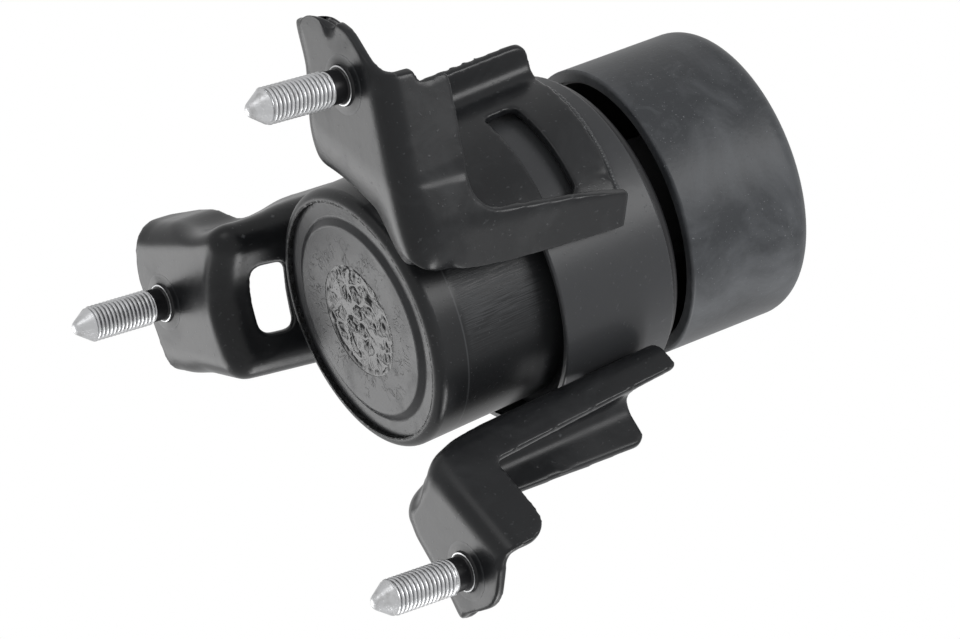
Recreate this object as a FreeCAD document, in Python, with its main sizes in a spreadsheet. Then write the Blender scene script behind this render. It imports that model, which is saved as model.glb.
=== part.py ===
"""Engine mount: a hydraulic rubber mount held in a steel band by three pressed legs.

All lengths are in millimetres and all angles in degrees. The feet seat in the plane
z = 0 with their studs pointing down. The origin is on foot A's seat, just inboard of its
stud, and +X is the way leg A points from the middle. The mount's own axis crosses the
seating plane at x = seat_inset - stud_circle and leans towards leg A.
"""
import FreeCAD, Part
import math
import os
import Sketcher

doc = FreeCAD.newDocument("EngineMount")

# Driving sizes

SIZES = [
    ("lean", 7.4),
    ("cup_lean", 3.6),
    ("cup_pivot", 88.0),
    ("can_radius", 36.5),
    ("can_wall", 1.5),
    ("can_start", 12.9),
    ("can_nose", 3.0),
    ("can_lip", 3.2),
    ("can_shoulder", 54.0),
    ("flange_rise", 4.4),
    ("plate_wall", 1.5),
    ("plate_step", 1.3),
    ("step_inset", 8.5),
    ("patch_radius", 15.8),
    ("diaphragm_wall", 1.8),
    ("diaphragm_slope", 8.0),
    ("diaphragm_gap", 0.3),
    ("band_step", 7.0),
    ("band_wall", 1.6),
    ("band_start", 49.1),
    ("band_length", 35.6),
    ("sleeve_wall", 2.2),
    ("sleeve_past", 4.0),
    ("sleeve_turn", 5.4),
    ("plate_gap", 0.1),
    ("lower_plate", 3.0),
    ("upper_plate", 3.6),
    ("track_inner", 24.0),
    ("track_width", 6.0),
    ("track_depth", 2.2),
    ("pool_radius", 14.0),
    ("pool_depth", 1.2),
    ("pool_gap", 0.3),
    ("pool_port", 9.0),
    ("spring_skirt", 3.4),
    ("spring_crown", 5.0),
    ("core_radius", 17.0),
    ("core_foot", 11.0),
    ("core_start", 78.0),
    ("core_taper", 12.0),
    ("neck_radius", 11.0),
    ("socket_radius", 4.25),
    ("socket_depth", 26.0),
    ("socket_mouth", 0.8),
    ("cup_inset", 2.6),
    ("cup_start", 95.2),
    ("cup_length", 39.9),
    ("cup_round", 6.0),
    ("rubber_wall", 2.2),
    ("rubber_past", 1.6),
    ("cup_wall", 1.8),
    ("stud_circle", 77.0),
    ("seat_inset", 14.0),
    ("leg_spread", 112.6),
    ("sheet", 2.6),
    ("bend", 7.0),
    ("web_gap", 1.5),
    ("rim_depth", 2.0),
    ("ledge", 3.6),
    ("heel_share", 0.644),
    ("rear_round", 4.0),
    ("knee_round", 12.0),
    ("root_share", 0.489),
    ("slot_height", 10.0),
    ("slot_round", 2.5),
    ("slot_level", 47.5),
    ("window_length", 19.0),
    ("window_height", 10.0),
    ("window_round", 3.0),
    ("window_level", 10.5),
    ("bead_height", 2.4),
    ("bead_rise", 2.8),
    ("bead_margin", 3.5),
    ("stud_radius", 4.95),
    ("stud_length", 29.4),
    ("tip_length", 5.0),
    ("tip_radius", 2.9),
    ("neck_length", 4.3),
    ("shank_radius", 4.55),
    ("collar_radius", 6.6),
    ("collar_height", 1.2),
    ("head_radius", 8.0),
    ("head_height", 4.0),
    ("foot_round", 12.0),
]

# Each leg's own sizes. Heel rounds the corner where foot, side and web meet. Left is the side that faces further round the mount. Reach and back
# place the foot's tip and each wall's outer end, measured out from the stud, and end how far
# to the side. Root, knee and hip place a side at the band, as shares of the web's radius, and
# slant is its run outwards with height. Wall is the height along the foot and curve rounds
# its outer end. Low and high place the free edge up the web, measured out from the web, and
# rise is the level of the rear end.
LEGS = [
    ("leg_a", 0, {"reach": 17.0, "tip": -4.0,
                  "end_left": 14.5, "back_left": 9.0, "root_left": 0.733, "slant_left": 0.06,
                  "knee_left": 1.111, "hip_left": 0.744,
                  "wall_left": 20.5, "curve_left": 4.5, "low_left": 6.5, "high_left": 3.3,
                  "rise_left": 68.5,
                  "end_right": 24.0, "back_right": 6.5, "root_right": 0.189, "slant_right": 0.04,
                  "wall_right": 18.5, "curve_right": 12.0, "low_right": 13.0, "high_right": 19.5,
                  "rise_right": 71.0,
                  "corner": 9.0, "heel": 32.0, "slot_mid": 14.0, "slot_length": 30.0}),
    ("leg_b", -1, {"reach": 13.0, "tip": 7.0,
                   "end_left": 20.5, "back_left": 10.0, "root_left": 0.622, "slant_left": 0.03,
                   "wall_left": 19.0, "curve_left": 8.0, "low_left": 12.0, "high_left": 9.0,
                   "rise_left": 75.0,
                   "end_right": 20.0, "back_right": 4.5, "root_right": 0.433,
                   "slant_right": -0.03,
                   "wall_right": 19.0, "curve_right": 8.0, "low_right": 12.0, "high_right": 9.0,
                   "rise_right": 77.0,
                   "corner": 6.0, "slot_mid": 3.0, "slot_length": 28.0}),
    ("leg_c", 1, {"reach": 13.5, "tip": -2.5,
                  "end_left": 18.0, "back_left": 4.5, "root_left": 0.289, "slant_left": -0.03,
                  "wall_left": 18.0, "curve_left": 12.0, "low_left": 10.0, "high_left": 8.5,
                  "rise_left": 80.0,
                  "end_right": 19.0, "back_right": 7.0, "root_right": 0.167,
                  "slant_right": -0.147,
                  "wall_right": 15.5, "curve_right": 8.0, "low_right": 12.5, "high_right": 6.5,
                  "rise_right": 77.5,
                  "corner": 2.5, "slot_mid": -4.0, "slot_length": 16.0}),
]


class Size:
    """A value of the sheet together with the expression that binds to it."""

    def __init__(self, text, value):
        self.text = text
        self.value = value

    def __add__(self, other):
        other = size_of(other)
        return Size("(%s + %s)" % (self.text, other.text), self.value + other.value)

    def __sub__(self, other):
        other = size_of(other)
        return Size("(%s - %s)" % (self.text, other.text), self.value - other.value)

    def __mul__(self, other):
        other = size_of(other)
        return Size("(%s * %s)" % (self.text, other.text), self.value * other.value)

    def __truediv__(self, other):
        other = size_of(other)
        return Size("(%s / %s)" % (self.text, other.text), self.value / other.value)

    def __neg__(self):
        return Size("(0 - %s)" % self.text, -self.value)


def size_of(number):
    """Plain numbers join the sizes of the sheet."""
    if isinstance(number, Size):
        return number
    return Size(repr(float(number)), float(number))


class Names:
    """The sheet's values by name, such as names.can_radius."""


sheet = doc.addObject("Spreadsheet::Sheet", "Sizes")
names = Names()


def fill_sheet():
    """Writes each driving size into its own cell, with an alias."""
    rows = list(SIZES)
    for leg, _, plan in LEGS:
        rows.extend((leg + "_" + key, number) for key, number in plan.items())
    for row, (alias, number) in enumerate(rows, start=1):
        sheet.set("A%d" % row, alias)
        sheet.set("B%d" % row, str(number))
        sheet.setAlias("B%d" % row, alias)
        setattr(names, alias, Size("Sizes." + alias, float(number)))
    doc.recompute()


fill_sheet()
n = names


# Helpers for sketches and bodies

def new_body(name):
    """Starts a body whose label is the piece's name."""
    body = doc.addObject("PartDesign::Body", name)
    body.Label = name
    return body


def origin_plane(body, role):
    """Finds one of the body's own origin planes."""
    for item in body.Origin.OriginFeatures:
        if item.Role == role:
            return item
    raise RuntimeError("no plane " + role)


def unit(ax, ay, bx, by):
    """Direction from one corner to the next."""
    length = math.hypot(bx - ax, by - ay)
    return (bx - ax) / length, (by - ay) / length


def draw_outline(sketch, corners):
    """Draws a closed outline through bound corners, each (x, y) or (x, y, round)."""
    points = []
    for corner in corners:
        x, y = size_of(corner[0]), size_of(corner[1])
        rounding = size_of(corner[2]) if len(corner) > 2 else None
        points.append((x, y, rounding))
    count = len(points)
    starts, ends, arcs = [], [], {}
    for i in range(count):
        x, y, rounding = points[i]
        px, py, _ = points[i - 1]
        nx, ny, _ = points[(i + 1) % count]
        if rounding is None:
            ends.append((x.value, y.value))
            starts.append((x.value, y.value))
            continue
        ux, uy = unit(x.value, y.value, px.value, py.value)
        vx, vy = unit(x.value, y.value, nx.value, ny.value)
        half = math.acos(max(-1.0, min(1.0, ux * vx + uy * vy))) / 2
        cut = rounding.value / math.tan(half)
        away = rounding.value / math.sin(half)
        bx, by = ux + vx, uy + vy
        length = math.hypot(bx, by)
        centre = (x.value + bx / length * away, y.value + by / length * away)
        ends.append((x.value + ux * cut, y.value + uy * cut))
        starts.append((x.value + vx * cut, y.value + vy * cut))
        arcs[i] = centre
    lines = []
    for i in range(count):
        a = starts[i]
        b = ends[(i + 1) % count]
        line = Part.LineSegment(FreeCAD.Vector(a[0], a[1], 0), FreeCAD.Vector(b[0], b[1], 0))
        lines.append(sketch.addGeometry(line, False))
    for i in range(count):
        x, y, rounding = points[i]
        before, after = lines[i - 1], lines[i]
        if rounding is None:
            sketch.addConstraint(Sketcher.Constraint("Coincident", before, 2, after, 1))
            bind_point(sketch, after, 1, x, y)
            continue
        mark = sketch.addGeometry(Part.Point(FreeCAD.Vector(x.value, y.value, 0)), True)
        bind_point(sketch, mark, 1, x, y)
        sketch.addConstraint(Sketcher.Constraint("PointOnObject", mark, 1, before))
        sketch.addConstraint(Sketcher.Constraint("PointOnObject", mark, 1, after))
        add_round(sketch, before, after, arcs[i], ends[i], starts[i], rounding)


def add_round(sketch, before, after, centre, first, last, rounding):
    """Joins two lines with a tangent arc of a bound radius."""
    a0 = math.atan2(first[1] - centre[1], first[0] - centre[0])
    a1 = math.atan2(last[1] - centre[1], last[0] - centre[0])
    forward = (a1 - a0) % (2 * math.pi) < math.pi
    middle = FreeCAD.Vector(centre[0], centre[1], 0)
    circle = Part.Circle(middle, FreeCAD.Vector(0, 0, 1), rounding.value)
    if forward:
        arc = sketch.addGeometry(Part.ArcOfCircle(circle, a0, a1), False)
        sketch.addConstraint(Sketcher.Constraint("Tangent", before, 2, arc, 1))
        sketch.addConstraint(Sketcher.Constraint("Tangent", arc, 2, after, 1))
    else:
        arc = sketch.addGeometry(Part.ArcOfCircle(circle, a1, a0), False)
        sketch.addConstraint(Sketcher.Constraint("Tangent", before, 2, arc, 2))
        sketch.addConstraint(Sketcher.Constraint("Tangent", arc, 1, after, 1))
    index = sketch.addConstraint(Sketcher.Constraint("Radius", arc, rounding.value))
    bind(sketch, index, rounding)


def bind(sketch, index, amount):
    """Ties one constraint to the sheet."""
    if "Sizes." in amount.text:
        sketch.setExpression("Constraints[%d]" % index, amount.text)


def bind_point(sketch, geometry, end, x, y):
    """Holds a point at bound distances from the sketch's origin."""
    if x.text == "0.0":
        sketch.addConstraint(Sketcher.Constraint("PointOnObject", geometry, end, -2))
    else:
        index = sketch.addConstraint(
            Sketcher.Constraint("DistanceX", -1, 1, geometry, end, x.value))
        bind(sketch, index, x)
    if y.text == "0.0":
        sketch.addConstraint(Sketcher.Constraint("PointOnObject", geometry, end, -1))
    else:
        index = sketch.addConstraint(
            Sketcher.Constraint("DistanceY", -1, 1, geometry, end, y.value))
        bind(sketch, index, y)


def turned(name, corners):
    """A body turned about its own Z axis from an (r, z) outline."""
    body = new_body(name)
    sketch = body.newObject("Sketcher::SketchObject", name + "_profile")
    sketch.AttachmentSupport = [(origin_plane(body, "XZ_Plane"), "")]
    sketch.MapMode = "FlatFace"
    draw_outline(sketch, corners)
    spin = body.newObject("PartDesign::Revolution", name + "_turn")
    spin.Profile = sketch
    spin.ReferenceAxis = (sketch, ["V_Axis"])
    spin.Angle = 360.0
    body.Tip = spin
    return body


def flat_outline(name, corners):
    """A sketch in the XY plane that a prism grows from."""
    sketch = doc.addObject("Sketcher::SketchObject", name)
    draw_outline(sketch, corners)
    return sketch


def grown(name, sketch, direction, length):
    """A solid grown from a sketch along a direction."""
    solid = doc.addObject("Part::Extrusion", name)
    solid.Base = sketch
    solid.DirMode = "Custom"
    solid.Dir = direction
    solid.Solid = True
    solid.LengthFwd = length.value
    solid.setExpression("LengthFwd", length.text)
    return solid


def prism(name, corners, low, high, slant=0):
    """A solid between two levels with a bound plan outline that may slant along Y."""
    low, high, slant = size_of(low), size_of(high), size_of(slant)
    shift = low * slant
    sketch = flat_outline(name + "_plan", corners)
    base = FreeCAD.Vector(0, shift.value, low.value)
    sketch.Placement = FreeCAD.Placement(base, FreeCAD.Rotation())
    sketch.setExpression("Placement.Base.y", shift.text)
    sketch.setExpression("Placement.Base.z", low.text)
    stretch = Size("sqrt(1 + %s * %s)" % (slant.text, slant.text), math.hypot(1, slant.value))
    solid = grown(name, sketch, FreeCAD.Vector(0, slant.value, 1), (high - low) * stretch)
    solid.setExpression("Dir.y", slant.text)
    return solid


def cross_prism(name, corners, start, length):
    """A solid grown along +X from a (y, z) outline that stands at x = start."""
    start, length = size_of(start), size_of(length)
    sketch = flat_outline(name + "_shape", corners)
    turn = FreeCAD.Rotation(FreeCAD.Vector(1, 1, 1), 120)
    sketch.Placement = FreeCAD.Placement(FreeCAD.Vector(start.value, 0, 0), turn)
    sketch.setExpression("Placement.Base.x", start.text)
    return grown(name, sketch, FreeCAD.Vector(1, 0, 0), length)


def side_prism(name, corners, side, length):
    """A solid grown from an (x, z) outline in the plane y = 0 towards one side."""
    sketch = flat_outline(name + "_shape", corners)
    turn = FreeCAD.Rotation(FreeCAD.Vector(1, 0, 0), 90)
    sketch.Placement = FreeCAD.Placement(FreeCAD.Vector(0, 0, 0), turn)
    return grown(name, sketch, FreeCAD.Vector(0, side, 0), size_of(length))


def joined(kind, name, first, second):
    """A boolean of two objects: Cut, Common or Fuse."""
    result = doc.addObject("Part::" + kind, name)
    result.Base = first
    result.Tool = second
    return result


def leaning(azimuth):
    """Placement of the mount's leaning axis, seen from a leg turned by azimuth."""
    turn = math.radians(azimuth)
    axis = FreeCAD.Vector(math.sin(turn), math.cos(turn), 0)
    return FreeCAD.Placement(FreeCAD.Vector(0, 0, 0), FreeCAD.Rotation(axis, n.lean.value))


# A long cylinder starts well below the part and keeps its seam on the far side
BACK_SEAM = FreeCAD.Placement(FreeCAD.Vector(0, 0, -200),
                              FreeCAD.Rotation(FreeCAD.Vector(0, 0, 1), 180))


def round_cylinder(name, radius, azimuth):
    """A long leaning cylinder about the mount's axis."""
    rod = doc.addObject("Part::Cylinder", name)
    rod.setExpression("Radius", radius.text)
    rod.Height = 400
    place = leaning(azimuth)
    rod.Placement = place.multiply(BACK_SEAM)
    return rod


def rounded(name, base, chosen, radius):
    """Rounds the edges that the chosen test picks from the base's shape."""
    doc.recompute()
    edges = enumerate(base.Shape.Edges, start=1)
    picked = [(i, radius.value, radius.value) for i, edge in edges if chosen(edge)]
    if not picked:
        raise RuntimeError("no edge to round on " + name)
    result = doc.addObject("Part::Fillet", name)
    result.Base = base
    result.Edges = picked
    doc.recompute()
    return result


# The hydraulic mount on its own leaning axis

can_front = n.can_start
band_radius = n.can_radius + n.band_step
step_radius = n.can_radius - n.step_inset
can_inner = n.can_radius - n.can_wall
flange_top = n.can_shoulder + n.flange_rise + n.can_wall
band_inner = band_radius - n.band_wall
band_end = n.band_start + n.band_length
sleeve_inner = band_inner - n.sleeve_wall
sleeve_end = band_end + n.sleeve_past
sleeve_mouth = band_inner - n.sleeve_turn
plate_back = can_front + n.can_wall
centre_front = plate_back - n.plate_step
lower_top = flange_top + n.lower_plate
upper_top = lower_top + n.upper_plate

can = turned("lower_can", [
    (n.can_radius - n.can_lip, can_front),
    (n.can_radius, can_front, n.can_nose),
    (n.can_radius, n.can_shoulder, n.can_wall * 1.4),
    (band_inner, n.can_shoulder + n.flange_rise, n.can_wall * 0.5),
    (band_inner, flange_top),
    (can_inner + n.can_wall * 0.7, flange_top - n.can_wall * 0.3, n.can_wall),
    (can_inner, n.can_shoulder + n.can_wall * 0.5, n.can_wall),
    (can_inner, can_front + n.can_wall, n.can_nose - n.can_wall * 0.9),
    (n.can_radius - n.can_lip, can_front + n.can_wall),
])

plate = turned("end_plate", [
    (can_inner, plate_back + n.can_nose * 0.6),
    (can_inner, plate_back + n.can_wall + n.plate_wall),
    (step_radius, plate_back + n.can_wall + n.plate_wall, n.plate_wall),
    (step_radius - n.plate_step * 1.6, centre_front + n.plate_wall, n.plate_wall),
    (n.patch_radius, centre_front + n.plate_wall),
    (n.patch_radius, centre_front),
    (step_radius - n.plate_step, centre_front, n.plate_wall),
    (step_radius + n.plate_step * 0.6, plate_back, n.plate_wall),
    (can_inner - n.can_nose * 0.6, plate_back),
])

skin = n.diaphragm_wall
skin_out = can_inner - n.diaphragm_gap
skin_low = plate_back + n.can_wall + n.plate_wall
diaphragm = turned("diaphragm", [
    (0, centre_front + n.plate_step * 0.4),
    (n.patch_radius - n.diaphragm_gap, centre_front + n.plate_step * 0.4),
    (n.patch_radius - n.diaphragm_gap, skin_low),
    (skin_out - n.diaphragm_slope, skin_low),
    (skin_out, skin_low + n.diaphragm_slope, n.diaphragm_slope * 0.5),
    (skin_out, flange_top),
    (skin_out - skin, flange_top),
    (skin_out - skin, skin_low + n.diaphragm_slope * 1.2, n.diaphragm_slope * 0.5),
    (skin_out - n.diaphragm_slope - skin, skin_low + skin),
    (0, skin_low + skin),
])

plate_edge = sleeve_inner - n.plate_gap
lower_plate = turned("lower_plate", [
    (n.pool_port, flange_top),
    (plate_edge, flange_top),
    (plate_edge, lower_top),
    (n.pool_radius, lower_top),
    (n.pool_radius, lower_top - n.pool_depth),
    (n.pool_port, lower_top - n.pool_depth),
])

upper_plate = turned("track_plate", [
    (n.pool_radius, lower_top),
    (n.track_inner, lower_top),
    (n.track_inner, lower_top + n.track_depth),
    (n.track_inner + n.track_width, lower_top + n.track_depth),
    (n.track_inner + n.track_width, lower_top),
    (plate_edge, lower_top),
    (plate_edge, upper_top),
    (n.pool_port, upper_top),
    (n.pool_port, lower_top + n.pool_depth),
    (n.pool_radius, lower_top + n.pool_depth),
])

decoupler = turned("decoupler", [
    (0, lower_top - n.pool_depth),
    (n.pool_radius - n.pool_gap, lower_top - n.pool_depth),
    (n.pool_radius - n.pool_gap, lower_top + n.pool_depth),
    (0, lower_top + n.pool_depth),
])

band = turned("carrier_band", [
    (band_inner, n.band_start),
    (band_radius, n.band_start, n.band_wall * 0.4),
    (band_radius, band_end, n.band_wall * 0.5),
    (band_inner, band_end),
])

sleeve = turned("spring_ring", [
    (sleeve_inner, flange_top),
    (band_inner, flange_top),
    (band_inner, sleeve_end, n.sleeve_past * 0.95),
    (sleeve_mouth, sleeve_end, n.sleeve_wall * 0.45),
    (sleeve_mouth, sleeve_end - n.sleeve_wall, n.sleeve_wall * 0.4),
    (sleeve_inner, sleeve_end - n.sleeve_wall, n.sleeve_past * 0.5),
])

# The rubber spring fills the ring and climbs to the core
core_shoulder = n.core_start + n.core_taper
spring_blank = turned("spring_blank", [
    (sleeve_inner - n.spring_skirt, upper_top),
    (sleeve_inner, upper_top),
    (sleeve_inner, sleeve_end - n.sleeve_wall - n.sleeve_past * 0.6),
    (sleeve_inner - n.spring_skirt, sleeve_end - n.sleeve_wall, n.spring_skirt),
    (n.core_radius + n.spring_crown * 1.4, core_shoulder - n.spring_crown * 0.2,
     n.spring_crown * 1.5),
    (n.core_radius + n.spring_crown * 0.5, core_shoulder + n.spring_crown * 0.5),
    (0, core_shoulder + n.spring_crown * 0.5),
    (0, n.core_start - n.spring_crown),
    (n.core_foot * 0.7, n.core_start - n.spring_crown, n.spring_crown),
    (sleeve_inner - n.spring_skirt * 1.8, upper_top + n.spring_crown, n.spring_crown),
])

# The boss, the cup and its rubber share the cup's own small lean
cup_end = n.cup_start + n.cup_length
floor_back = cup_end - n.rubber_wall
floor_front = floor_back - n.cup_wall
core = turned("core_boss", [
    (0, n.core_start),
    (n.core_foot, n.core_start, n.core_foot * 0.2),
    (n.core_radius, core_shoulder, n.core_radius * 0.2),
    (n.core_radius, floor_front),
    (n.neck_radius, floor_front),
    (n.neck_radius, cup_end),
    (n.socket_radius + n.socket_mouth, cup_end),
    (n.socket_radius, cup_end - n.socket_mouth),
    (n.socket_radius, cup_end - n.socket_depth),
    (0, cup_end - n.socket_depth - n.socket_radius * 0.5),
])

cup_radius = band_radius - n.cup_inset
cup_inner = cup_radius - n.rubber_wall
cup = turned("top_cup", [
    (cup_inner - n.cup_wall, n.cup_start + n.rubber_past),
    (cup_inner, n.cup_start + n.rubber_past),
    (cup_inner, floor_back, n.cup_round - n.rubber_wall),
    (n.neck_radius, floor_back),
    (n.neck_radius, floor_front),
    (cup_inner - n.cup_wall, floor_front, n.cup_round - n.rubber_wall - n.cup_wall * 0.8),
])

rubber = turned("stopper_sleeve", [
    (cup_inner - n.cup_wall * 0.5, n.cup_start),
    (cup_radius, n.cup_start, n.rubber_wall * 0.4),
    (cup_radius, cup_end, n.cup_round),
    (n.neck_radius + n.pool_gap, cup_end),
    (n.neck_radius + n.pool_gap, floor_back),
    (cup_inner, floor_back, n.cup_round - n.rubber_wall),
    (cup_inner, n.cup_start + n.rubber_past),
    (cup_inner - n.cup_wall * 0.5, n.cup_start + n.rubber_past),
])

# Each piece is built about the middle of the mount and moved so that foot A is at the origin
middle_x = n.seat_inset - n.stud_circle
home = FreeCAD.Placement(FreeCAD.Vector(middle_x.value, 0, 0), FreeCAD.Rotation())
pivot = FreeCAD.Placement(FreeCAD.Vector(0, 0, n.cup_pivot.value), FreeCAD.Rotation())
nod = FreeCAD.Placement(FreeCAD.Vector(0, 0, 0),
                        FreeCAD.Rotation(FreeCAD.Vector(1, 0, 0), -n.cup_lean.value))
upright = home.multiply(leaning(0))
cup_place = upright.multiply(pivot).multiply(nod).multiply(pivot.inverse())
for body in (can, plate, diaphragm, lower_plate, upper_plate, decoupler, band, sleeve, spring_blank):
    body.Placement = upright
for body in (core, cup, rubber):
    body.Placement = cup_place
spring = joined("Cut", "main_spring", spring_blank, core)

stack = [can, plate, diaphragm, lower_plate, upper_plate, decoupler, band, sleeve, spring,
         core, cup, rubber]


# The pressed legs, each modelled with its stud on +X and then turned into place

web_radius = band_radius + n.web_gap
root = web_radius * n.root_share


def plan_of(leg):
    """One leg's plan sizes in millimetres, from its shares and distances."""
    rows = {label: plan for label, _, plan in LEGS}
    plan = {}
    for key in rows[leg]:
        value = getattr(names, leg + "_" + key)
        kind = key.split("_")[0]
        if kind in ("root", "knee", "hip"):
            value = web_radius * value
        elif kind in ("low", "high"):
            value = web_radius + value
        elif kind in ("back", "reach"):
            value = n.stud_circle + value
        plan[key] = value
    return plan


def side_line(plan, side, inset, far):
    """One side's plan points as (x, distance out): at the root, at its knee, far out."""
    start, start_out = root, plan["root_" + side]
    points = [(start, start_out - inset)]
    if "knee_" + side in plan:
        start, start_out = plan["knee_" + side], plan["hip_" + side]
        points.append((start, start_out - inset))
    slope = (plan["end_" + side] - start_out) / (plan["back_" + side] - start)
    points.append((far, start_out + slope * (far - start) - inset))
    return points


def channel_block(name, plan, inset, far, low, high):
    """The channel's block between its two slanted sides, run out past the foot's end."""
    inset = size_of(inset)
    wide = n.stud_circle
    left = side_line(plan, "left", inset, far)
    right = side_line(plan, "right", inset, far)
    knee = [n.knee_round - inset] if inset.value else [n.knee_round]
    left_corners = [(root, -wide), (far, -wide), left[-1]]
    left_corners += [point + tuple(knee) for point in left[-2:0:-1]]
    left_corners.append(left[0])
    right_corners = [(x, -out) for x, out in right] + [(far, wide), (root, wide)]
    left_half = prism(name + "_left", left_corners, low, high, plan["slant_left"])
    right_half = prism(name + "_right", right_corners, low, high, plan["slant_right"])
    return joined("Common", name, left_half, right_half)


def heeled(name, block, plan, inset, far, high):
    """Rounds the block's low corner at the hub, where the foot sweeps up into a side."""
    if "heel" not in plan:
        return block
    inset = size_of(inset)
    start = web_radius * n.heel_share + inset
    keep = side_prism(name + "_keep", [
        (start, inset, plan["heel"] - inset),
        (far + 10, inset),
        (far + 10, high + 10),
        (start, high + 10),
    ], 1, n.stud_circle * 2)
    keep.Symmetric = True
    return joined("Common", name, block, keep)


def bend_picker(plan, top_level, far):
    """Picks the bends of a channel block: around its foot, and up its sides at the band.

    A side with a knee lies so close along the band that its fold there stays sharp.
    """
    def chosen(edge):
        box = edge.BoundBox
        if box.ZMin > top_level - 0.01 or box.XMin > far - 0.01:
            return False
        if box.XLength < 0.01 and box.ZLength < 0.01:
            return False
        if box.ZLength < 30:
            return True
        at_knee = isinstance(edge.Curve, Part.Line)
        sharp_fold = "knee_left" in plan and box.YMin > 0
        return not at_knee and not sharp_fold
    return chosen


def wall_outline(plan, side, far):
    """What stays of one side wall, as an (x, z) outline."""
    wall, back = plan["wall_" + side], plan["back_" + side]
    rear = plan["rise_" + side]
    return [
        (0, -1),
        (far + 20, -1),
        (far + 20, n.ledge),
        (back, n.ledge),
        (back, wall, plan["curve_" + side]),
        (plan["low_" + side], wall, plan["corner"]),
        (plan["high_" + side], rear, n.rear_round),
        (0, rear),
    ]


def rear_level(plan, y):
    """Level of the web's rear edge at y, between the rear ends of the two walls."""
    span = plan["root_left"] + plan["root_right"]
    rise = (plan["rise_left"] - plan["rise_right"]) / span
    return plan["rise_right"] + rise * (y + plan["root_right"])


def make_leg(name, turn):
    """Builds one leg, its stud and its weld bead; returns the three pieces."""
    plan = plan_of(name)
    azimuth = turn * n.leg_spread.value
    far = n.stud_circle + 30
    wide = n.stud_circle
    top = plan["rise_left"] + 20

    # Outside of the sheet
    block = channel_block(name + "_outside", plan, 0, far, 0, top)
    block = heeled(name + "_outer_heel", block, plan, 0, far, top)
    hub = round_cylinder(name + "_hub", web_radius, azimuth)
    outside = joined("Cut", name + "_outer_cut", block, hub)
    outside = rounded(name + "_outer_bends", outside,
                      bend_picker(plan, top.value, far.value), n.bend)

    # Inside of the sheet
    open_top = top + 10
    hollow = channel_block(name + "_inside", plan, n.sheet, far + 5, n.sheet, open_top)
    hollow = heeled(name + "_inner_heel", hollow, plan, n.sheet, far + 5, open_top)
    hub = round_cylinder(name + "_inner_hub", web_radius + n.sheet, azimuth)
    inside = joined("Cut", name + "_inner_cut", hollow, hub)
    inside = rounded(name + "_inner_bends", inside,
                     bend_picker(plan, open_top.value, far.value + 5), n.bend - n.sheet)
    shell = joined("Cut", name + "_shell", outside, inside)

    # The web keeps its full height, the walls keep their drawn outlines
    rim = round_cylinder(name + "_rim", web_radius + n.sheet + n.rim_depth, azimuth)
    left_wall = side_prism(name + "_left_wall", wall_outline(plan, "left", far), 1, wide)
    right_wall = side_prism(name + "_right_wall", wall_outline(plan, "right", far), -1, wide)
    keep = joined("Fuse", name + "_both_walls", left_wall, right_wall)
    keep = joined("Fuse", name + "_keep", keep, rim)
    walls = joined("Common", name + "_walls", shell, keep)
    rear = cross_prism(name + "_rear", [
        (-wide, rear_level(plan, -wide)),
        (wide, rear_level(plan, wide)),
        (wide, top + 30),
        (-wide, top + 30),
    ], 0, n.stud_circle * 2)
    walls = joined("Cut", name + "_rear_cut", walls, rear)

    # The foot's rounded end stands past the ends of its two walls
    left_in = plan["end_left"] - n.sheet
    right_in = plan["end_right"] - n.sheet
    end = prism(name + "_end", [
        (0, -wide),
        (plan["back_right"], -wide),
        (plan["back_right"], -right_in, n.sheet),
        (plan["reach"], plan["tip"], n.foot_round),
        (plan["back_left"], left_in, n.sheet),
        (plan["back_left"], wide),
        (0, wide),
    ], -1, top)
    trimmed = joined("Common", name + "_trimmed", walls, end)

    # Openings: the slot over the band, the window above the foot and the stud's hole
    middle = plan["slot_mid"]
    slot = wall_opening(name + "_slot", middle, plan["slot_length"] / 2, n.slot_level,
                        n.slot_height, n.slot_round)
    window = wall_opening(name + "_window", middle * 0.5, n.window_length / 2, n.window_level,
                          n.window_height, n.window_round)
    hole = doc.addObject("Part::Cylinder", name + "_hole")
    hole.setExpression("Radius", n.collar_radius.text)
    hole.setExpression("Height", (n.sheet + 4).text)
    hole.setExpression("Placement.Base.x", n.stud_circle.text)
    hole.Placement.Base.z = -2
    cutters = joined("Fuse", name + "_cutters", slot, window)
    cutters = joined("Fuse", name + "_all_cutters", cutters, hole)
    leg = joined("Cut", name, trimmed, cutters)
    leg.Label = name

    # The stud is pressed in from inside, and its collar fills the foot's hole
    stud = turned("stud_" + name[-1], [
        (0, -n.stud_length),
        (n.tip_radius * 0.75, -n.stud_length),
        (n.tip_radius, -n.stud_length + 0.9),
        (n.stud_radius, -n.stud_length + n.tip_length),
        (n.stud_radius, -(n.collar_height + n.neck_length)),
        (n.shank_radius, -(n.collar_height + n.neck_length - 0.4)),
        (n.shank_radius, -n.collar_height),
        (n.collar_radius, -n.collar_height, n.collar_height * 0.4),
        (n.collar_radius, n.sheet),
        (n.head_radius, n.sheet),
        (n.head_radius, n.sheet + n.head_height, n.head_height * 0.25),
        (0, n.sheet + n.head_height),
    ])

    # The weld bead lies in the corner between the web's rear edge and the band
    tube = round_cylinder(name + "_bead_outer", band_radius + n.bead_rise, azimuth)
    core_rod = round_cylinder(name + "_bead_inner", band_radius, azimuth)
    ring = joined("Cut", name + "_bead_ring", tube, core_rod)
    bead_left = plan["root_left"] - n.bead_margin
    bead_right = -(plan["root_right"] - n.bead_margin)
    strip = cross_prism(name + "_bead_strip", [
        (bead_right, rear_level(plan, bead_right)),
        (bead_left, rear_level(plan, bead_left)),
        (bead_left, rear_level(plan, bead_left) + n.bead_height),
        (bead_right, rear_level(plan, bead_right) + n.bead_height),
    ], 0, n.stud_circle)
    bead = joined("Common", "weld_" + name[-1], ring, strip)

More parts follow.
